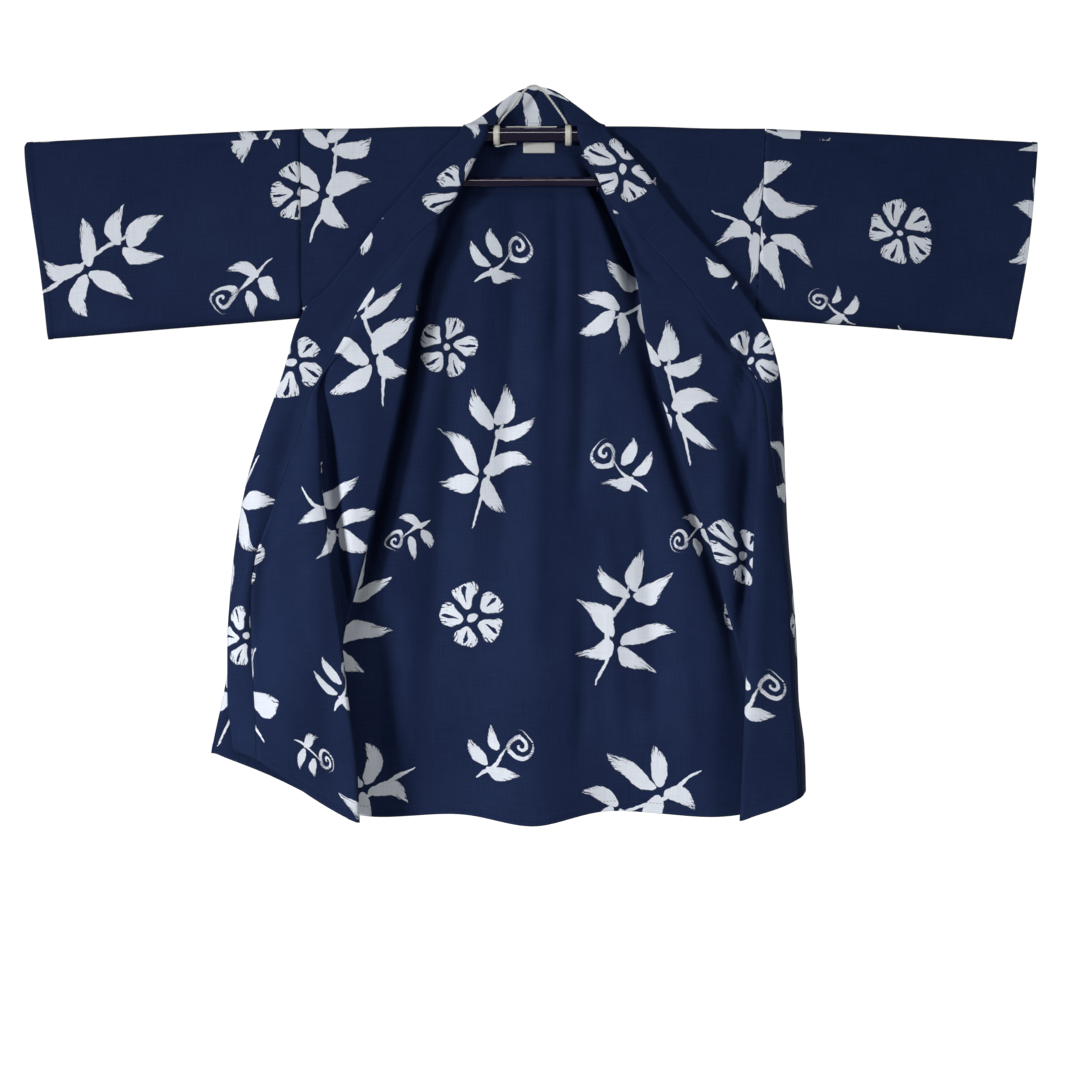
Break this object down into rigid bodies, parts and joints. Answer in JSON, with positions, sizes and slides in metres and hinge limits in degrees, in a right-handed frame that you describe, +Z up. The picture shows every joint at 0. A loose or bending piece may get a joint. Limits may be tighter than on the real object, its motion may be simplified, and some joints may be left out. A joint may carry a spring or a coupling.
{
  "type": "short yukata on a kimono hanger",
  "caption": "Short cotton yukata worn like a jacket, hanging open with both fronts turned outward, on a straight telescopic kimono hanger with a cord loop.",
  "frame": {"origin": "top of the hanger's cord loop, where a hook or peg carries it", "axes": "+X to the viewer's right along the sleeves, -Y the open front, +Z up"},
  "size_m": [1.3, 0.0633, 0.957],
  "materials": {
    "cotton": "plain-weave cotton dyed navy with a white print dyed through, matte",
    "label_cloth": "blank white woven label",
    "lacquer": "glossy very dark purple-brown",
    "ring": "ivory plastic, satin",
    "cord": "white twisted cord"
  },
  "bodies": {
    "root": {"back": "cotton", "front_left": "cotton", "front_right": "cotton", "sleeve_left": "cotton", "sleeve_right": "cotton", "collar_band": "cotton", "neck_label": "label_cloth", "hanger_tube": "lacquer", "hanger_lower_bar": "lacquer", "hanger_arm_left": "lacquer", "hanger_arm_right": "lacquer", "hanger_post_left": "lacquer", "hanger_post_right": "lacquer", "hanger_ring_left": "ring", "hanger_ring_right": "ring", "hanger_cord": "cord"}
  },
  "joints": []
}
